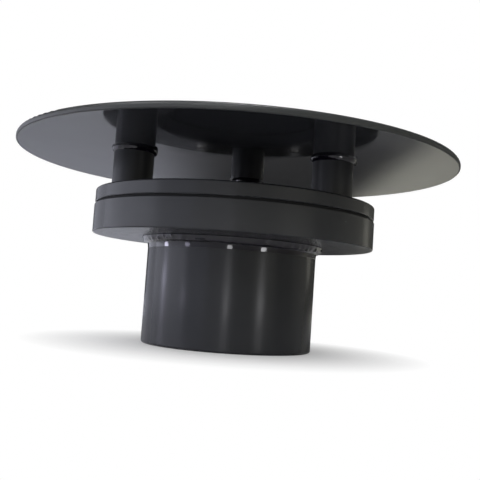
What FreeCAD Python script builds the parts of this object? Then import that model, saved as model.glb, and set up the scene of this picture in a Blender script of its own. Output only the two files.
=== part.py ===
import FreeCAD, Part
import math
import os

# Pond bottom drain, fabricated from dark grey PVC. An outlet pipe is cemented into a
# thick flange. A gasket and a clamp ring are screwed down on the flange, with the pond
# liner to go between them. A flat round cover stands over the hole on three tube legs.
# Sizes are in millimetres. The axis is +Z, from the centre of the pipe's lower end.

# Outlet pipe
pipe_diameter = 110.0
pipe_wall = 4.2
pipe_drop = 67.7            # from the pipe's lower end to the underside of the flange
pipe_seat_skim = 1.0        # turned off the pipe's radius where it goes into the flange
pipe_end_round = 1.5        # outer edge of the lower end
pipe_end_deburr = 0.6       # inner edge of the lower end

# Cement fillet between the pipe and the flange
fillet_width = 3.8          # out from the pipe, along the flange
fillet_drop = 7.0           # down the pipe, from the flange
fillet_groove = 3.0         # depth of the countersink in the flange that it fills
fillet_waist_out = 0.8      # from the pipe to where the hollow tail meets the full bead
fillet_waist_up = 3.4       # from the fillet's lower edge to the same place
fillet_hollow = 0.15        # how far the tail curves in
fillet_swell = 0.7          # how far the bead curves out

# Lower flange, gasket and clamp ring
flange_thickness = 17.6
flange_margin = 7.5         # from a leg's side to the flange's rim
gasket_thickness = 1.2
gasket_setback = 0.9        # inside the flange's rim
ring_thickness = 8.5
ring_setback = 0.3          # inside the flange's rim
throat_step = 1.0           # the gasket and the ring stand back from the pipe's seat
flange_top_round = 0.4
flange_bottom_round = 0.8
ring_round = 1.0            # outer edges of the ring, and the edge of its throat

# Clamp screws, countersunk
screws_per_leg = 2
screw_diameter = 5.0
screw_head_diameter = 9.4
screw_head_rim = 0.3        # straight edge of the head above its cone
screw_set_down = 0.2        # the head's top below the ring's face
screw_hole_clearance = 0.25
screw_floor = 5.0           # flange left under a screw hole
screw_run_on = 2.0          # empty hole past a screw's tip
screw_tip_chamfer = 0.9
recess_span = 4.6           # cross recess in the head, from tip to tip
recess_wing = 1.1
recess_depth = 2.2
recess_foot = 2.0           # span at the recess's floor

# Legs
leg_count = 3
first_leg_angle = 84.0
leg_diameter = 25.0
leg_wall = 2.3
leg_inset = 3.5             # from the ring's bore to a leg's side
leg_end_chamfer = 0.8
socket_floor = 3.0          # ring left under a leg
socket_clearance = 0.15

# Cement beads round the tops of the legs
leg_bead_width = 1.3
leg_bead_height = 2.2
leg_bead_swell = 0.4

# Cover
cover_diameter = 283.0
cover_thickness = 4.0
cover_gap = 24.6            # water gap over the clamp ring
cover_top_round = 2.5
cover_bottom_round = 0.6

# Heights
shoulder_level = pipe_drop - fillet_drop
flange_top = pipe_drop + flange_thickness
gasket_top = flange_top + gasket_thickness
ring_top = gasket_top + ring_thickness
socket_level = gasket_top + socket_floor
cover_level = ring_top + cover_gap
cover_top = cover_level + cover_thickness
screw_top = ring_top - screw_set_down
screw_hole_level = pipe_drop + screw_floor
screw_tip = screw_hole_level + screw_run_on

# Radii
pipe_radius = pipe_diameter / 2
bore_radius = pipe_radius - pipe_wall
seat_radius = pipe_radius - pipe_seat_skim
fillet_radius = pipe_radius + fillet_width
throat_radius = seat_radius + throat_step
leg_radius = leg_diameter / 2
post_circle = throat_radius + leg_inset + leg_radius
flange_radius = post_circle + leg_radius + flange_margin
gasket_radius = flange_radius - gasket_setback
ring_radius = flange_radius - ring_setback
cover_radius = cover_diameter / 2
screw_radius = screw_diameter / 2
screw_head_radius = screw_head_diameter / 2
screw_hole_radius = screw_radius + screw_hole_clearance

# Angles of the legs, and of the screws spaced evenly between them
screw_count = leg_count * screws_per_leg
leg_angles = [first_leg_angle + 360.0 * i / leg_count for i in range(leg_count)]
screw_angles = [first_leg_angle + 360.0 * (i + 0.5) / screw_count for i in range(screw_count)]

centre = FreeCAD.Vector(0, 0, 0)
up = FreeCAD.Vector(0, 0, 1)
same_place = 1e-6


def at(radius, height):
    """A point of a turned outline."""
    return FreeCAD.Vector(radius, 0, height)


def line(start, end):
    return Part.LineSegment(at(*start), at(*end)).toShape()


def bowed(start, end, bow):
    """An arc from start to end that leaves the straight line by bow, to the right of its way."""
    a, b = at(*start), at(*end)
    along = b - a
    side = FreeCAD.Vector(along.z, 0, -along.x).normalize()
    return Part.Arc(a, (a + b) / 2 + side * bow, b).toShape()


def turned(edges):
    """A closed outline of edges, turned about the axis."""
    return Part.Face(Part.Wire(edges)).revolve(centre, up, 360)


def turned_corners(corners):
    """A closed outline of straight lines between corners, turned about the axis."""
    ends = corners[1:] + corners[:1]
    return turned([line(start, end) for start, end in zip(corners, ends)])


def washer(inner, outer, low, high):
    return turned_corners([(inner, low), (outer, low), (outer, high), (inner, high)])


def rounded(solid, size, rims):
    """Round the circular edges that lie at the given radii and heights."""
    def is_rim(edge):
        if not isinstance(edge.Curve, Part.Circle):
            return False
        here = (edge.Curve.Radius, edge.Curve.Center.z)
        return any(math.dist(here, rim) < same_place for rim in rims)
    return solid.makeFillet(size, [edge for edge in solid.Edges if is_rim(edge)])


def on_post_circle(angle):
    """The way from the axis to the centre of a leg or a screw."""
    turn = math.radians(angle)
    return FreeCAD.Vector(post_circle * math.cos(turn), post_circle * math.sin(turn), 0)


def repeated(solid, angles):
    return [solid.translated(on_post_circle(angle)) for angle in angles]


def make_outlet_pipe():
    """A length of pipe, with its upper end skimmed to make a seat in the flange."""
    pipe = turned_corners([
        (bore_radius, 0), (pipe_radius, 0), (pipe_radius, shoulder_level),
        (seat_radius, shoulder_level), (seat_radius, flange_top), (bore_radius, flange_top)])
    pipe = rounded(pipe, pipe_end_round, [(pipe_radius, 0)])
    return rounded(pipe, pipe_end_deburr, [(bore_radius, 0)])


def make_pipe_cement_fillet():
    """Cement that fills the flange's countersink and runs down to the pipe's shoulder."""
    foot = (pipe_radius, shoulder_level)
    waist = (pipe_radius + fillet_waist_out, shoulder_level + fillet_waist_up)
    brim = (fillet_radius, pipe_drop)
    groove = (seat_radius, pipe_drop + fillet_groove)
    heel = (seat_radius, shoulder_level)
    return turned([
        bowed(foot, waist, -fillet_hollow), bowed(waist, brim, fillet_swell),
        line(brim, groove), line(groove, heel), line(heel, foot)])


def make_lower_flange():
    """A turned disc, bored for the pipe, with blind holes for the clamp screws."""
    flange = turned_corners([
        (seat_radius, pipe_drop + fillet_groove), (fillet_radius, pipe_drop),
        (flange_radius, pipe_drop), (flange_radius, flange_top), (seat_radius, flange_top)])
    flange = rounded(flange, flange_bottom_round, [(flange_radius, pipe_drop)])
    flange = rounded(flange, flange_top_round, [(flange_radius, flange_top)])
    hole = Part.makeCylinder(screw_radius, flange_top - screw_hole_level, at(0, screw_hole_level))
    return flange.cut(repeated(hole, screw_angles))


def make_gasket():
    """A flat rubber ring with a clearance hole for each screw."""
    gasket = washer(throat_radius, gasket_radius, flange_top, gasket_top)
    hole = Part.makeCylinder(screw_hole_radius, gasket_thickness, at(0, flange_top))
    return gasket.cut(repeated(hole, screw_angles))


def make_clamp_ring():
    """A turned ring with countersunk screw holes, and a blind socket for each leg."""
    ring = washer(throat_radius, ring_radius, gasket_top, ring_top)
    ring = rounded(ring, ring_round, [
        (ring_radius, ring_top), (ring_radius, gasket_top), (throat_radius, ring_top)])
    socket = Part.makeCylinder(
        leg_radius + socket_clearance, ring_top - socket_level, at(0, socket_level))
    mouth_radius = screw_head_radius
    cone_top = screw_top - screw_head_rim
    cone_foot = cone_top - (mouth_radius - screw_hole_radius)
    screw_hole = turned_corners([
        (0, gasket_top), (screw_hole_radius, gasket_top), (screw_hole_radius, cone_foot),
        (mouth_radius, cone_top), (mouth_radius, ring_top), (0, ring_top)])
    return ring.cut(repeated(socket, leg_angles) + repeated(screw_hole, screw_angles))


def make_screw():
    """A countersunk screw on the axis, with a tapered cross recess in its head."""
    cone_top = screw_top - screw_head_rim
    cone_foot = cone_top - (screw_head_radius - screw_radius)
    tip_edge = screw_tip + screw_tip_chamfer
    body = turned_corners([
        (0, screw_tip), (screw_radius - screw_tip_chamfer, screw_tip), (screw_radius, tip_edge),
        (screw_radius, cone_foot), (screw_head_radius, cone_top), (screw_head_radius, screw_top),
        (0, screw_top)])
    floor = screw_top - recess_depth
    wing = Part.Face(Part.makePolygon([
        at(-recess_span / 2, screw_top), at(recess_span / 2, screw_top),
        at(recess_foot / 2, floor), at(-recess_foot / 2, floor), at(-recess_span / 2, screw_top)]))
    slot = wing.extrude(FreeCAD.Vector(0, recess_wing, 0))
    slot = slot.translated(FreeCAD.Vector(0, -recess_wing / 2, 0))
    crossing_slot = slot.rotated(centre, up, 90)
    return body.cut([slot, crossing_slot])


def make_leg():
    """A length of tube on the axis, from the floor of its socket up to the cover."""
    inner = leg_radius - leg_wall
    return turned_corners([
        (inner, socket_level), (leg_radius - leg_end_chamfer, socket_level),
        (leg_radius, socket_level + leg_end_chamfer), (leg_radius, cover_level),
        (inner, cover_level)])


def make_leg_bead():
    """Cement squeezed out round the top of a leg, against the cover."""
    foot = (leg_radius, cover_level - leg_bead_height)
    brim = (leg_radius + leg_bead_width, cover_level)
    root = (leg_radius, cover_level)
    return turned([bowed(foot, brim, leg_bead_swell), line(brim, root), line(root, foot)])


def make_cover_disc():
    """A flat disc cut from sheet, with its edges rounded over."""
    disc = Part.makeCylinder(cover_radius, cover_thickness, at(0, cover_level))
    disc = rounded(disc, cover_top_round, [(cover_radius, cover_top)])
    return rounded(disc, cover_bottom_round, [(cover_radius, cover_level)])


nodes = {
    "outlet_pipe": make_outlet_pipe(),
    "pipe_cement_fillet": make_pipe_cement_fillet(),
    "lower_flange": make_lower_flange(),
    "gasket": make_gasket(),
    "clamp_ring": make_clamp_ring(),
    "clamp_screws": Part.makeCompound(repeated(make_screw(), screw_angles)),
    "cover_disc": make_cover_disc(),
}
for number, leg in enumerate(repeated(make_leg(), leg_angles), 1):
    nodes[f"leg_{number}"] = leg
for number, bead in enumerate(repeated(make_leg_bead(), leg_angles), 1):
    nodes[f"leg_cement_bead_{number}"] = bead

os.makedirs("parts", exist_ok=True)
for node, shape in nodes.items():
    shape.exportStep(f"parts/{node}.step")
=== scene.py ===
import math

import bmesh
import bpy
from mathutils import Matrix, Vector, noise


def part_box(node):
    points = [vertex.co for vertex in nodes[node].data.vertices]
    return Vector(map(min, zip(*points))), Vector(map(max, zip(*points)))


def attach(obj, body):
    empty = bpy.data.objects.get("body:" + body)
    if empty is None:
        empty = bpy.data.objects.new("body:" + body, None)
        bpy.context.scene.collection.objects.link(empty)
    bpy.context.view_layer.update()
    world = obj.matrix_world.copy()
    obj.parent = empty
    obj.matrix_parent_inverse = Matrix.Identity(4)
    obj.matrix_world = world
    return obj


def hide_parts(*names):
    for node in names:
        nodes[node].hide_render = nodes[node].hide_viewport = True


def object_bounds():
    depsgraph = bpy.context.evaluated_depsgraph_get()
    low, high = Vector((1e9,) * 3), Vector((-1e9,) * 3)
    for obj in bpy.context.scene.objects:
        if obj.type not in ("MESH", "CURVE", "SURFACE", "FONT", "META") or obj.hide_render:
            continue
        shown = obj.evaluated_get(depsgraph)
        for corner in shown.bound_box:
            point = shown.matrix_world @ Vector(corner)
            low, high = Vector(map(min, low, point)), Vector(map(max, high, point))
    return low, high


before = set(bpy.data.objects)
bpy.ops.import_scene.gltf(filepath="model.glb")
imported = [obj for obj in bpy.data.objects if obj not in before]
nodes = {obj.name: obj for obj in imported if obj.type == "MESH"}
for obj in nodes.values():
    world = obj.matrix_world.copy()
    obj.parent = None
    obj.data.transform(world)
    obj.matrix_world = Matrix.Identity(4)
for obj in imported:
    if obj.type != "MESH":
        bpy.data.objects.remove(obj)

cad_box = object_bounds()
mm = 0.001


# Outlet pipe: a sawn length of 110 mm pressure pipe, extruded in dark grey PVC, with its lower edge
# rounded over by hand. The drain stands on it, and its upper end is cemented into the flange.
def linear(hex_colour):
    """An sRGB hex colour as linear red, green, blue and alpha."""
    channels = [int(hex_colour[i:i + 2], 16) / 255 for i in (0, 2, 4)]
    return [c / 12.92 if c <= 0.04045 else ((c + 0.055) / 1.055) ** 2.4 for c in channels] + [1.0]


def add(tree, kind, inputs=None, **settings):
    """Adds a node with its settings, and sets its inputs or links them to a node or a socket."""
    node = tree.nodes.new(kind)
    for key, value in settings.items():
        setattr(node, key, value)
    for key, value in (inputs or {}).items():
        if isinstance(value, bpy.types.Node):
            value = next(socket for socket in value.outputs if socket.enabled)
        if isinstance(value, bpy.types.NodeSocket):
            tree.links.new(value, node.inputs[key])
        else:
            node.inputs[key].default_value = value
    return node


def new_material(name):
    """An empty material, with its node tree and the place of a point on the drain."""
    material = bpy.data.materials.new(name)
    material.use_nodes = True
    tree = material.node_tree
    tree.nodes.clear()
    return material, tree, add(tree, "ShaderNodeTexCoord").outputs["Object"]


# A Mix node's inputs go by number, because several of them share a name.
factor, value_a, value_b, colour_a, colour_b = 0, 2, 3, 6, 7


# Extruded PVC: a satin skin. Fine lengthwise lines from the die draw reflections out into upright
# streaks, a slow sway of the wall makes their edges wander, and handling leaves cloudy patches. The
# lines are drawn further apart than real ones, so that they show.
def extruded_pvc(name, gloss_rough, dull_rough):
    line_spacing, line_depth = 1.6 * mm, 0.003 * mm
    sway_width, sway_depth = 14 * mm, 0.07 * mm
    patch_size = 25 * mm
    lengthwise = 0.02
    material, tree, place = new_material(name)
    drawn = add(tree, "ShaderNodeVectorMath", {0: place, 1: (1, 1, lengthwise)}, operation="MULTIPLY")
    die_lines = add(tree, "ShaderNodeTexNoise", {
        "Vector": drawn, "Scale": 1 / line_spacing, "Detail": 2.0})
    sway = add(tree, "ShaderNodeTexNoise", {"Vector": drawn, "Scale": 1 / sway_width, "Detail": 1.0})
    cloud = add(tree, "ShaderNodeTexNoise", {"Vector": place, "Scale": 1 / patch_size, "Detail": 3.0})
    colour = add(tree, "ShaderNodeMix", {
        factor: cloud, colour_a: linear("323337"), colour_b: linear("3b3c3f")}, data_type="RGBA")
    rough = add(tree, "ShaderNodeMapRange", {
        "Value": die_lines, "To Min": gloss_rough, "To Max": dull_rough})
    fine = add(tree, "ShaderNodeBump", {"Height": die_lines, "Distance": line_depth})
    relief = add(tree, "ShaderNodeBump", {"Height": sway, "Distance": sway_depth, "Normal": fine})
    shader = add(tree, "ShaderNodeBsdfPrincipled", {
        "Base Color": colour, "Roughness": rough, "Normal": relief})
    add(tree, "ShaderNodeOutputMaterial", {"Surface": shader})
    return material


pvc_pipe = extruded_pvc("PVC_extruded_satin", gloss_rough=0.16, dull_rough=0.25)
nodes["outlet_pipe"].material_slots[0].material = pvc_pipe

# Lower flange: a thick disc of dark grey PVC, turned on a lathe, with its edges broken. The pipe is
# cemented into its bore, and it carries the gasket and the clamp ring on six screws.

# Turned PVC: satin, with fine rings left by the tool's feed that run round the rim and the faces, and
# slower bands where the cut changed. The faces are cut finer than the rim, so they shine a little more.
# The rings are drawn further apart than a real feed leaves them, so that they show.
ring_spacing, ring_depth = 0.5 * mm, 0.0012 * mm
band_width = 5 * mm
patch_size = 18 * mm
pvc_turned, tree, place = new_material("PVC_turned_satin")
flat = add(tree, "ShaderNodeVectorMath", {0: place, 1: (1, 1, 0)}, operation="MULTIPLY")
radius = add(tree, "ShaderNodeVectorMath", {0: flat}, operation="LENGTH")
height = add(tree, "ShaderNodeSeparateXYZ", {0: place}).outputs["Z"]
feed = add(tree, "ShaderNodeMath", {0: radius, 1: height}, operation="ADD")
rings = add(tree, "ShaderNodeTexNoise", {
    "W": feed, "Scale": 1 / ring_spacing, "Detail": 1.0}, noise_dimensions="1D")
bands = add(tree, "ShaderNodeTexNoise", {
    "W": feed, "Scale": 1 / band_width, "Detail": 2.0}, noise_dimensions="1D")
cloud = add(tree, "ShaderNodeTexNoise", {"Vector": place, "Scale": 1 / patch_size, "Detail": 4.0})
colour = add(tree, "ShaderNodeMix", {
    factor: cloud, colour_a: linear("3c3d40"), colour_b: linear("464749")}, data_type="RGBA")
worn = add(tree, "ShaderNodeMath", {0: bands, 1: cloud}, operation="MULTIPLY")
rim_rough = add(tree, "ShaderNodeMapRange", {
    "Value": worn, "From Max": 0.5, "To Min": 0.19, "To Max": 0.28})
face_rough = add(tree, "ShaderNodeMapRange", {
    "Value": worn, "From Max": 0.5, "To Min": 0.12, "To Max": 0.19})
normal = add(tree, "ShaderNodeNewGeometry").outputs["Normal"]
upward = add(tree, "ShaderNodeSeparateXYZ", {0: normal}).outputs["Z"]
flatness = add(tree, "ShaderNodeMath", {0: upward}, operation="ABSOLUTE")
rough = add(tree, "ShaderNodeMix", {factor: flatness, value_a: rim_rough, value_b: face_rough})
relief = add(tree, "ShaderNodeBump", {"Height": rings, "Distance": ring_depth})
shader = add(tree, "ShaderNodeBsdfPrincipled", {"Base Color": colour, "Roughness": rough, "Normal": relief})
add(tree, "ShaderNodeOutputMaterial", {"Surface": shader})
nodes["lower_flange"].material_slots[0].material = pvc_turned


# Cement fillet: solvent cement laid by hand in the corner between the pipe and the flange's underside.
# It fills the flange's countersink, swells into lumps below it, and is wiped down into a smooth tail.
def hand_laid_bead(name, centre, wall, level, tail_up, tail_out, width, fall, lip, squareness,
                   ripple, lumps, steps):
    """A closed ring of cement in the corner between a tube's wall and the flat face above it.

    The tail is the smooth hollow foot, up along the wall and out from it. The lumpy bead goes on from
    there, turns out under its edge and ends in a lip below the face. A squareness under 1 makes the bead
    fuller than a quarter of an ellipse, and one over 1 flatter. Each lump is its angle in degrees, its
    share of the way across the bead, its size across and its height. The ring's hidden side is sunk a
    little into both neighbours."""
    tail_rows = 24 if tail_up else 0
    bead_rows = 18
    bead_start = 0.2 if tail_up else 0
    tail_corner = 30
    lip_corner = 8
    girth_share = 0.85
    hidden_share = 0.8
    sink = 0.4 * mm
    slow_wander, quick_wander = 8 * mm, 3 * mm
    drop_wander, tail_wander = 12 * mm, 9 * mm
    broad_ripple, fine_ripple = 3.4 * mm, 1.3 * mm
    up = Vector((0, 0, 1))
    bm = bmesh.new()
    loops = []
    for step in range(steps):
        turn = 2 * math.pi * step / steps
        out = Vector((math.cos(turn), math.sin(turn), 0))
        root = Vector((centre[0], centre[1], level)) + out * wall
        slow = noise.noise(root / slow_wander)
        quick = noise.noise(root / quick_wander + up)
        spread = width * (1.03 + 0.06 * slow + 0.04 * quick)
        drop = fall * (1.05 + 0.05 * noise.noise(root / drop_wander - up))
        tail = tail_up * (1 + 0.1 * noise.noise(root / tail_wander + 2 * up))
        foot = root - up * drop
        bead_out = spread - tail_out
        bead_down = drop - tail
        flare = bead_out * math.sin(bead_start) ** squareness
        loop = []
        for row in range(tail_rows):
            share = row / tail_rows
            outward = tail_out * share * (0.8 + 0.2 * share) + flare * share ** tail_corner
            loop.append(foot + up * tail * share + out * outward)
        for row in range(bead_rows + 1):
            share = row / bead_rows
            quarter = bead_start + share * (math.pi / 2 - bead_start)
            away = out * math.sin(quarter) - up * math.cos(quarter)
            outward = tail_out + bead_out * math.sin(quarter) ** squareness + lip * share ** lip_corner
            point = root + out * outward
            point -= up * bead_down * abs(math.cos(quarter)) ** squareness
            bow = ripple * math.sin(math.pi * share) * (
                1.4 * noise.noise(point / broad_ripple) + 0.2 * noise.noise(point / fine_ripple))
            for angle, lump_share, across, high in lumps:
                apart = math.remainder(turn - math.radians(angle), 2 * math.pi) * wall
                along = (share - lump_share) * (bead_out + bead_down) * girth_share
                bow += high * math.exp(-(apart * apart + along * along) / (across / 2) ** 2)
            loop.append(point + away * bow)
        loop.append(root + out * spread * hidden_share + up * sink)
        loop.append(root - out * sink + up * sink)
        loop.append(root - out * sink - up * drop)
        loops.append([bm.verts.new(point) for point in loop])
    for here, there in zip(loops, loops[1:] + loops[:1]):
        for i in range(len(here)):
            bm.faces.new((here[i - 1], there[i - 1], there[i], here[i]))
    bmesh.ops.recalc_face_normals(bm, faces=bm.faces)
    mesh = bpy.data.meshes.new(name)
    bm.to_mesh(mesh)
    bm.free()
    mesh.polygons.foreach_set("use_smooth", [True] * len(mesh.polygons))
    bead = bpy.data.objects.new(name, mesh)
    bpy.context.scene.collection.objects.link(bead)
    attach(bead, "root")
    return bead


# Set cement: nearly black, with the clear hard gloss of something that flowed before it set. Small
# wrinkles and patches of skin break its reflections into sparks along the lumps.
wrinkle_size, wrinkle_depth = 1.8 * mm, 0.014 * mm
skin_size = 5 * mm
cement, tree, place = new_material("PVC_cement_hand_laid_glossy")
wrinkle = add(tree, "ShaderNodeTexNoise", {"Vector": place, "Scale": 1 / wrinkle_size, "Detail": 2.0})
skin = add(tree, "ShaderNodeTexNoise", {"Vector": place, "Scale": 1 / skin_size, "Detail": 3.0})
colour = add(tree, "ShaderNodeMix", {
    factor: skin, colour_a: linear("110e17"), colour_b: linear("1d1928")}, data_type="RGBA")
rough = add(tree, "ShaderNodeMapRange", {
    "Value": skin, "From Min": 0.3, "From Max": 0.7, "To Min": 0.05, "To Max": 0.14})
relief = add(tree, "ShaderNodeBump", {"Height": wrinkle, "Distance": wrinkle_depth})
shader = add(tree, "ShaderNodeBsdfPrincipled", {
    "Base Color": colour, "Roughness": rough, "Normal": relief, "Coat Weight": 1.0, "Coat Roughness": 0.04,
    "Coat Normal": relief})
add(tree, "ShaderNodeOutputMaterial", {"Surface": shader})

camera_side = -90
pipe_lumps = [
    (camera_side - 58, 0.7, 4.5 * mm, 0.35 * mm),
    (camera_side - 50.5, 0.62, 2.0 * mm, 0.9 * mm),
    (camera_side - 45, 0.8, 1.3 * mm, 0.7 * mm),
    (camera_side - 42.5, 0.6, 1.1 * mm, 0.6 * mm),
    (camera_side - 38, 0.85, 1.5 * mm, 0.8 * mm),
    (camera_side - 31, 0.6, 3.5 * mm, 0.4 * mm),
    (camera_side + 19.5, 0.5, 1.1 * mm, 0.8 * mm),
    (camera_side + 43, 0.3, 2.2 * mm, 0.7 * mm),
    (camera_side + 52, 0.35, 2.0 * mm, 0.7 * mm),
    (camera_side + 63, 0.5, 2.6 * mm, 0.8 * mm),
    (camera_side + 118, 0.6, 2.4 * mm, 0.7 * mm),
    (camera_side + 171, 0.5, 2.8 * mm, 0.8 * mm),
    (camera_side - 127, 0.65, 2.2 * mm, 0.7 * mm),
]
ridge_start = camera_side - 22
ridge_lumps = 7
pipe_lumps += [(ridge_start + i, 0.5, 1.4 * mm, 0.45 * mm) for i in range(ridge_lumps)]
fillet = hand_laid_bead(
    "pipe_fillet", (0, 0), wall=55 * mm, level=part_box("lower_flange")[0].z, tail_up=3.4 * mm,
    tail_out=0.4 * mm, width=3.5 * mm, fall=7 * mm, lip=0.6 * mm, squareness=0.72, ripple=0.2 * mm,
    lumps=pipe_lumps, steps=1080)
fillet.data.materials.append(cement)
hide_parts("pipe_cement_fillet")

# Gasket: a ring cut from black sheet rubber and squeezed between the flange and the clamp ring. Only its
# edge shows, a little inside the rims.

# Sheet rubber: matt and slightly dusty, so the seam reads as a soft dark line with no shine.
grain_size, grain_depth = 0.4 * mm, 0.02 * mm
dust_size = 9 * mm
rubber, tree, place = new_material("rubber_sheet_matt")
grain = add(tree, "ShaderNodeTexNoise", {"Vector": place, "Scale": 1 / grain_size, "Detail": 3.0})
dust = add(tree, "ShaderNodeTexNoise", {"Vector": place, "Scale": 1 / dust_size, "Detail": 4.0})
colour = add(tree, "ShaderNodeMix", {
    factor: dust, colour_a: linear("101011"), colour_b: linear("1d1d1e")}, data_type="RGBA")
rough = add(tree, "ShaderNodeMapRange", {"Value": grain, "To Min": 0.65, "To Max": 0.9})
relief = add(tree, "ShaderNodeBump", {"Height": grain, "Distance": grain_depth})
shader = add(tree, "ShaderNodeBsdfPrincipled", {"Base Color": colour, "Roughness": rough, "Normal": relief})
add(tree, "ShaderNodeOutputMaterial", {"Surface": shader})
nodes["gasket"].material_slots[0].material = rubber

# Clamp ring: a thinner ring turned from the same PVC. It presses the pond liner on the gasket, and has
# countersunk holes for six screws and a blind socket for each leg.
nodes["clamp_ring"].material_slots[0].material = pvc_turned

# Clamp screws: six countersunk stainless screws with cross recesses, driven down just under the ring's
# face and left at whatever turn they stopped. They are formed cold, with nearly flat heads, and polished
# by tumbling.
screw_count = 6
screw_circle = 71 * mm
first_screw_angle = math.radians(54)
screw_low, screw_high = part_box("clamp_screws")
screw_sides = 40
head_radius = 4.7 * mm
head_rim = 0.3 * mm
head_dome = 0.04 * mm
head_rings = 6
shank_radius = 2.5 * mm
tip_chamfer = 0.9 * mm
recess_half_span = 2.3 * mm
recess_half_foot = 1.0 * mm
recess_half_wing = 0.55 * mm
recess_depth = 2.2 * mm
sharp_edge = math.radians(20)
cone_top = screw_high.z - head_rim
cone_foot = cone_top - (head_radius - shank_radius)
outline = [
    (0, screw_low.z), (shank_radius - tip_chamfer, screw_low.z), (shank_radius, screw_low.z + tip_chamfer),
    (shank_radius, cone_foot), (head_radius, cone_top)]
for ring in range(head_rings + 1):
    share = 1 - ring / head_rings
    outline.append((head_radius * share, screw_high.z - head_dome * share * share))
bm = bmesh.new()
corners = [bm.verts.new((r, 0, z)) for r, z in outline]
for lower, upper in zip(corners, corners[1:]):
    bm.edges.new((lower, upper))
bmesh.ops.spin(
    bm, geom=bm.verts[:] + bm.edges[:], cent=(0, 0, 0), axis=(0, 0, 1), angle=2 * math.pi,
    steps=screw_sides, use_merge=True)
bmesh.ops.remove_doubles(bm, verts=bm.verts[:], dist=0.001 * mm)
bmesh.ops.recalc_face_normals(bm, faces=bm.faces)
screw_mesh = bpy.data.meshes.new("clamp_screw")
bm.to_mesh(screw_mesh)
bm.free()

bm = bmesh.new()
above = 1 * mm
slope = (recess_half_span - recess_half_foot) / recess_depth
wing = [
    (recess_half_foot, -recess_depth), (recess_half_span + slope * above, above),
    (-recess_half_span - slope * above, above), (-recess_half_foot, -recess_depth)]
for quarter in (0, 1):
    sides = []
    for across in (-recess_half_wing, recess_half_wing):
        face = []
        for along, z in wing:
            flat_place = (along, across) if quarter == 0 else (-across, along)
            face.append(bm.verts.new((*flat_place, screw_high.z + z)))
        sides.append(face)
    near, far = sides
    bm.faces.new(near)
    bm.faces.new(far[::-1])
    for i in range(len(wing)):
        bm.faces.new((near[i], near[i - 1], far[i - 1], far[i]))
bmesh.ops.recalc_face_normals(bm, faces=bm.faces)
driver_mesh = bpy.data.meshes.new("cross_driver")
bm.to_mesh(driver_mesh)
bm.free()

screws = bpy.data.objects.new("clamp_screws_seen", screw_mesh)
driver = bpy.data.objects.new("cross_driver", driver_mesh)
bpy.context.scene.collection.objects.link(screws)
bpy.context.scene.collection.objects.link(driver)
recess = screws.modifiers.new("recess", "BOOLEAN")
recess.operation = "DIFFERENCE"
recess.solver = "EXACT"
recess.use_self = True
recess.object = driver
bpy.context.view_layer.update()
screws.data = bpy.data.meshes.new_from_object(screws.evaluated_get(bpy.context.evaluated_depsgraph_get()))
screws.modifiers.remove(recess)
bpy.data.objects.remove(driver)
screws.data.polygons.foreach_set("use_smooth", [True] * len(screws.data.polygons))
screws.data.set_sharp_from_angle(angle=sharp_edge)

# Cold-formed stainless steel: bright, so that the heads mirror small lights, with fine tumbled scratches
# and faint stains that keep them from looking plated.
scratch_size, scratch_depth = 0.5 * mm, 0.004 * mm
stain_size = 3 * mm
steel, tree, place = new_material("stainless_steel_tumbled")
scratches = add(tree, "ShaderNodeTexNoise", {"Vector": place, "Scale": 1 / scratch_size, "Detail": 4.0})
stain = add(tree, "ShaderNodeTexNoise", {"Vector": place, "Scale": 1 / stain_size, "Detail": 2.0})
colour = add(tree, "ShaderNodeMix", {
    factor: stain, colour_a: linear("b4b1ab"), colour_b: linear("cfcdc8")}, data_type="RGBA")
rough = add(tree, "ShaderNodeMapRange", {"Value": scratches, "To Min": 0.04, "To Max": 0.09})
relief = add(tree, "ShaderNodeBump", {"Height": scratches, "Distance": scratch_depth})
shader = add(tree, "ShaderNodeBsdfPrincipled", {
    "Base Color": colour, "Metallic": 1.0, "Roughness": rough, "Normal": relief})
add(tree, "ShaderNodeOutputMaterial", {"Surface": shader})

group = bpy.data.node_groups.new("screws_on_a_circle", "GeometryNodeTree")
screw_inputs = {
    "Screw": ("NodeSocketGeometry", None),
    "Count": ("NodeSocketInt", screw_count),
    "Circle Radius": ("NodeSocketFloat", screw_circle),
    "First Angle": ("NodeSocketFloat", first_screw_angle),
    "Seed": ("NodeSocketInt", 4),
    "Material": ("NodeSocketMaterial", steel),
}
for label, (kind, value) in screw_inputs.items():
    group.interface.new_socket(label, in_out="INPUT", socket_type=kind)
group.interface.new_socket("Screws", in_out="OUTPUT", socket_type="NodeSocketGeometry")
given = add(group, "NodeGroupInput").outputs
circle = add(group, "GeometryNodeMeshCircle", {
    "Vertices": given["Count"], "Radius": given["Circle Radius"]})
first_turn = add(group, "ShaderNodeCombineXYZ", {"Z": given["First Angle"]})
places = add(group, "GeometryNodeTransform", {"Geometry": circle, "Rotation": first_turn})
stopped = add(group, "FunctionNodeRandomValue", {
    "Min": (0, 0, 0), "Max": (0, 0, math.pi), "Seed": given["Seed"]}, data_type="FLOAT_VECTOR")
placed = add(group, "GeometryNodeInstanceOnPoints", {
    "Points": places, "Instance": given["Screw"], "Rotation": stopped})
real = add(group, "GeometryNodeRealizeInstances", {"Geometry": placed})
finished = add(group, "GeometryNodeSetMaterial", {"Geometry": real, "Material": given["Material"]})
add(group, "NodeGroupOutput", {"Screws": finished})
pattern = screws.modifiers.new("screws_on_a_circle", "NODES")
pattern.node_group = group
for socket in group.interface.items_tree:
    if socket.in_out == "INPUT" and socket.name != "Screw":
        pattern[socket.identifier] = screw_inputs[socket.name][1]
bpy.context.view_layer.update()
screws.data = bpy.data.meshes.new_from_object(screws.evaluated_get(bpy.context.evaluated_depsgraph_get()))
screws.modifiers.remove(pattern)
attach(screws, "root")
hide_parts("clamp_screws")

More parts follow.
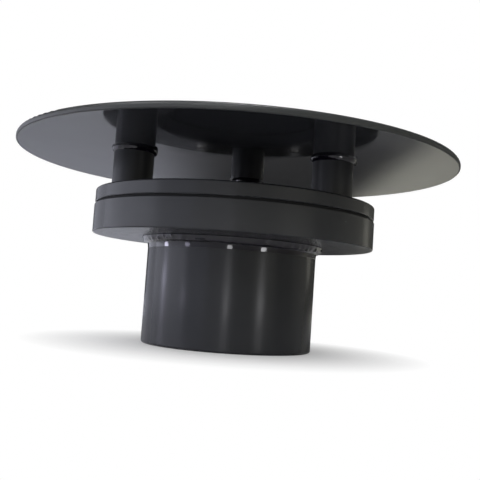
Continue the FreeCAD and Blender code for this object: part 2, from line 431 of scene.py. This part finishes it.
# Legs: three short lengths of 25 mm PVC tube, extruded like the pipe, with a duller skin. They stand in
# the ring's sockets and hold the cover over the throat, so that water and waste run in between them.
pvc_tube = extruded_pvc("PVC_tube_extruded_matt", gloss_rough=0.26, dull_rough=0.38)
for number in (1, 2, 3):
    nodes[f"leg_{number}"].material_slots[0].material = pvc_tube

# Leg beads: the same cement, laid round the top of each leg against the cover. It was squeezed out and
# not wiped, so each bead has its own fall and bulges, and the right-hand one has a pulled string.
leg_beads = {
    1: (2.2 * mm, [
        (20, 0.6, 3 * mm, 0.5 * mm), (250, 0.5, 4 * mm, 0.6 * mm)]),
    2: (2.1 * mm, [
        (192, 0.5, 3 * mm, 0.6 * mm), (0, 0.3, 3.6 * mm, 1.3 * mm), (250, 0.6, 2.4 * mm, 0.4 * mm)]),
    3: (2.2 * mm, [
        (-9, 0.45, 1.8 * mm, 1.5 * mm), (215, 0.5, 4 * mm, 0.2 * mm), (270, 0.5, 3 * mm, 0.2 * mm)]),
}
for number, (fall, lumps) in leg_beads.items():
    low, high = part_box(f"leg_{number}")
    bead = hand_laid_bead(
        f"leg_bead_{number}", ((low + high) / 2)[:2], wall=(high.x - low.x) / 2, level=high.z, tail_up=0,
        tail_out=0, width=1.3 * mm, fall=fall, lip=0.15 * mm, squareness=1.4, ripple=0.15 * mm,
        lumps=lumps, steps=160)
    bead.data.materials.append(cement)
    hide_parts(f"leg_cement_bead_{number}")

# Cover: a flat disc routed from 4 mm PVC sheet, with its edge rounded over. It is cemented to the legs,
# and leaves, stones and fish can't fall straight into the pipe.

# Pressed sheet PVC: the press plates leave it nearly mirror glossy, so its underside reflects the ring
# and the legs, a little bent by the sheet's slow waves and dulled by wiping. The routed edge is paler
# and matt.
cover_radius = cad_box[1].x
face_end, edge_start = 1.6 * mm, 0.6 * mm
smear_size = 30 * mm
wave_length, wave_depth = 35 * mm, 0.06 * mm
grain_size, grain_depth = 1.2 * mm, 0.03 * mm
pvc_sheet, tree, place = new_material("PVC_sheet_pressed_glossy")
flat = add(tree, "ShaderNodeVectorMath", {0: place, 1: (1, 1, 0)}, operation="MULTIPLY")
radius = add(tree, "ShaderNodeVectorMath", {0: flat}, operation="LENGTH")
edge = add(tree, "ShaderNodeMapRange", {
    "Value": radius, "From Min": cover_radius - face_end, "From Max": cover_radius - edge_start})
smear = add(tree, "ShaderNodeTexNoise", {
    "Vector": place, "Scale": 1 / smear_size, "Detail": 4.0, "Distortion": 0.8})
wave = add(tree, "ShaderNodeTexNoise", {"Vector": flat, "Scale": 1 / wave_length, "Detail": 1.0})
grain = add(tree, "ShaderNodeTexNoise", {"Vector": place, "Scale": 1 / grain_size, "Detail": 3.0})
pressed = add(tree, "ShaderNodeMix", {
    factor: smear, colour_a: linear("2f3034"), colour_b: linear("36373a")}, data_type="RGBA")
routed = add(tree, "ShaderNodeMix", {
    factor: grain, colour_a: linear("4a4c4b"), colour_b: linear("585a59")}, data_type="RGBA")
colour = add(tree, "ShaderNodeMix", {
    factor: edge, colour_a: pressed, colour_b: routed}, data_type="RGBA")
haze = add(tree, "ShaderNodeMapRange", {
    "Value": smear, "From Min": 0.35, "From Max": 0.75, "To Min": 0.03, "To Max": 0.11})
matt = add(tree, "ShaderNodeMapRange", {"Value": grain, "To Min": 0.3, "To Max": 0.45})
rough = add(tree, "ShaderNodeMix", {factor: edge, value_a: haze, value_b: matt})
bent = add(tree, "ShaderNodeBump", {"Height": wave, "Distance": wave_depth})
uneven = add(tree, "ShaderNodeMath", {0: grain, 1: edge}, operation="MULTIPLY")
relief = add(tree, "ShaderNodeBump", {"Height": uneven, "Distance": grain_depth, "Normal": bent})
shader = add(tree, "ShaderNodeBsdfPrincipled", {"Base Color": colour, "Roughness": rough, "Normal": relief})
add(tree, "ShaderNodeOutputMaterial", {"Surface": shader})
nodes["cover_disc"].material_slots[0].material = pvc_sheet

# Floor: a plain pale sheet. Near the drain it shows its own shading, and it goes over to plain white
# further out, so that it has no edge against the white background.
reach = 6.0
shading_start, shading_end = 0.055, 0.13
fibre_size = 3 * mm
floor_mesh = bpy.data.meshes.new("floor")
floor_mesh.from_pydata(
    [(-reach, -reach, 0), (reach, -reach, 0), (reach, reach, 0), (-reach, reach, 0)], [], [(0, 1, 2, 3)])
floor = bpy.data.objects.new("floor", floor_mesh)
bpy.context.scene.collection.objects.link(floor)
paper, tree, place = new_material("paper_pale_matt")
fibre = add(tree, "ShaderNodeTexNoise", {"Vector": place, "Scale": 1 / fibre_size, "Detail": 2.0})
colour = add(tree, "ShaderNodeMix", {
    factor: fibre, colour_a: linear("e6e6e6"), colour_b: linear("eaeaea")}, data_type="RGBA")
shader = add(tree, "ShaderNodeBsdfPrincipled", {"Base Color": colour, "Roughness": 0.3})
white = add(tree, "ShaderNodeEmission", {"Color": (1, 1, 1, 1), "Strength": 1.0})
away = add(tree, "ShaderNodeVectorMath", {0: place}, operation="LENGTH")
plain = add(tree, "ShaderNodeMapRange", {
    "Value": away, "From Min": shading_start, "From Max": shading_end, "To Min": 0.35, "To Max": 1.0})
rays = add(tree, "ShaderNodeLightPath")
seen = add(tree, "ShaderNodeMath", {0: rays.outputs["Is Camera Ray"], 1: plain}, operation="MULTIPLY")
mixed = add(tree, "ShaderNodeMixShader", {0: seen, 1: shader, 2: white})
add(tree, "ShaderNodeOutputMaterial", {"Surface": mixed})
floor_mesh.materials.append(paper)

# Background: white to the camera, and nearly dark to the drain, so that the lamps alone light it and its
# gloss shows them and not the white.
world = bpy.data.worlds.new("studio")
world.use_nodes = True
bpy.context.scene.world = world
tree = world.node_tree
tree.nodes.clear()
rays = add(tree, "ShaderNodeLightPath")
dim = add(tree, "ShaderNodeBackground", {"Color": (1, 1, 1, 1), "Strength": 0.02})
bright = add(tree, "ShaderNodeBackground", {"Color": (1, 1, 1, 1), "Strength": 1.0})
mixed = add(tree, "ShaderNodeMixShader", {0: rays.outputs["Is Camera Ray"], 1: dim, 2: bright})
add(tree, "ShaderNodeOutputWorld", {"Surface": mixed})


# Light: a tent of upright soft panels round the drain, bright and bluish at the left and dim and warm at
# the right, with soft lamps above it. Small lamps give the streaks and glints, and fill the back.
def softbox(name, spot, aim, size, watts, colour, spread=180, glossy=True, shape="RECTANGLE"):
    """An area lamp that the camera doesn't see, from a spot towards an aim, with its spread in degrees."""
    lamp = bpy.data.lights.new(name, "AREA")
    lamp.shape = shape
    lamp.size, lamp.size_y = size
    lamp.energy = watts
    lamp.color = colour
    lamp.spread = math.radians(spread)
    lamp_object = bpy.data.objects.new(name, lamp)
    lamp_object.location = spot
    lamp_object.rotation_euler = (Vector(aim) - Vector(spot)).to_track_quat("-Z", "Y").to_euler()
    lamp_object.visible_camera = False
    lamp_object.visible_glossy = glossy
    bpy.context.scene.collection.objects.link(lamp_object)


def around(azimuth, distance, height):
    """A point at an azimuth from the camera's side, positive to the right."""
    turn = math.radians(azimuth)
    return (distance * math.sin(turn), -distance * math.cos(turn), height)


cool = (0.85, 0.87, 1.0)
violet = (0.8, 0.78, 1.0)
neutral = (0.97, 0.97, 1.0)
warm = (1.0, 0.98, 0.85)

# The tent's panels stand 30 degrees apart, and are just wide enough to meet edge to edge.
tent = [
    (-135, 0.52, cool), (-105, 1.06, cool), (-75, 1.19, cool), (-45, 0.57, cool), (-15, 0.38, neutral),
    (15, 0.195, warm), (45, 0.3, warm), (75, 0.13, warm), (105, 0.185, warm), (135, 0.065, warm)]
tent_radius = 1.0
panel_middle = 0.25
panel_size = (0.536, 0.5)
for azimuth, watts, colour in tent:
    spot = around(azimuth, tent_radius, panel_middle)
    softbox(f"panel_{azimuth}", spot, (0, 0, panel_middle), panel_size, watts, colour)

# Lamps above light the cover's top. Their narrow spread keeps most of their light on the drain.
cover_aim = (0, 0, 0.12)
softbox("upper", around(-12, 0.9, 0.8), cover_aim, (0.8, 0.4), 0.2, neutral, 24)
softbox("above", (-0.55, -0.25, 0.9), cover_aim, (0.5, 0.5), 0.15, neutral, 24)
softbox("overhead", (0, 0, 0.95), cover_aim, (0.26, 0.26), 0.13, neutral, 18)

# Lamps over the floor behind light the patches of floor that the glossy undersides reflect.
softbox("floor_left", (-0.365, 0.7, 0.4), (-0.365, 0.7, 0), (0.52, 0.9), 1.0, cool, 35)
softbox("floor_left_far", (-0.45, 1.55, 0.4), (-0.45, 1.55, 0), (0.7, 0.9), 2.2, cool, 35)
softbox("floor_right", (0.438, 0.69, 0.12), (0.438, 0.69, 0), (0.4, 0.62), 0.62, warm, 48)

# Weak lamps behind show in the ring's upper face as the cover mirrors it. Two tiny ones make the screw
# heads glint there, and one at the right lights the right ends of the ring and the flange.
softbox("back_left", (-0.205, 0.98, 0.29), (0, 0, 0.1), (0.25, 0.18), 0.0044, cool, 60)
ring_back = (0, 0.06, 0.095)
for name, spot in [("glint_left", (-0.075, 0.9, 0.269)), ("glint_right", (0.11, 0.9, 0.273))]:
    softbox(name, spot, ring_back, (0.016, 0.016), 0.001, neutral)
softbox("edge_right", around(125, 0.7, 0.12), (0, 0, 0.08), (0.12, 0.12), 0.025, warm)

# Fill lamps light the pipe's right and back, and don't show in reflections.
for azimuth, watts in [(115, 0.012), (160, 0.045), (205, 0.04)]:
    spot = around(azimuth, 0.5, 0.05)
    softbox(f"fill_{azimuth}", spot, (0, 0, 0.03), (0.2, 0.08), watts, neutral, 40, False)

# Low strips give the pipe its upright streaks. Small bright cores, each at the height that the slope of
# the cement's tail reflects, give the cement its glints.
low_strips = [(-89, 0.012, violet), (-3, 0.0068, neutral), (38, 0.0075, neutral)]
strip_middle = 0.04
for azimuth, watts, colour in low_strips:
    spot = around(azimuth, 0.3, strip_middle)
    softbox(f"strip_{azimuth}", spot, (0, 0, strip_middle), (0.033, 0.07), watts, colour)
low_cores = [
    (-89, 0.045, 0.006, violet), (-56, 0.028, 0.0028, violet), (-3, 0.0225, 0.0035, neutral),
    (38, 0.025, 0.0055, neutral)]
core_size = (0.036, 0.014)
for azimuth, height, watts, colour in low_cores:
    spot = around(azimuth, 0.29, height)
    softbox(f"core_{azimuth}", spot, (0, 0, height), core_size, watts, colour, shape="ELLIPSE")

# Camera: low in front of the drain, looking slightly up and tilted, as the photograph was taken.
camera_distance = 0.457557
camera_height = 0.035524
focal_px = 694.54
photo_px = 480
sensor_width = 36
yaw = math.radians(0.597)
pitch = math.radians(4.342)
roll = math.radians(4.001)
ahead = Vector((math.sin(yaw) * math.cos(pitch), math.cos(yaw) * math.cos(pitch), math.sin(pitch)))
level_right = ahead.cross(Vector((0, 0, 1))).normalized()
level_up = level_right.cross(ahead)
right = math.cos(roll) * level_right + math.sin(roll) * level_up
up = math.cos(roll) * level_up - math.sin(roll) * level_right
camera_data = bpy.data.cameras.new("camera")
camera_data.sensor_width = sensor_width
camera_data.lens = focal_px / photo_px * sensor_width
camera_data.clip_start = 0.01
camera = bpy.data.objects.new("camera", camera_data)
turn = Matrix((right, up, -ahead)).transposed().to_4x4()
camera.matrix_world = Matrix.Translation((0, -camera_distance, camera_height)) @ turn
bpy.context.scene.collection.objects.link(camera)
bpy.context.scene.camera = camera
bpy.context.scene.view_settings.view_transform = "Standard"
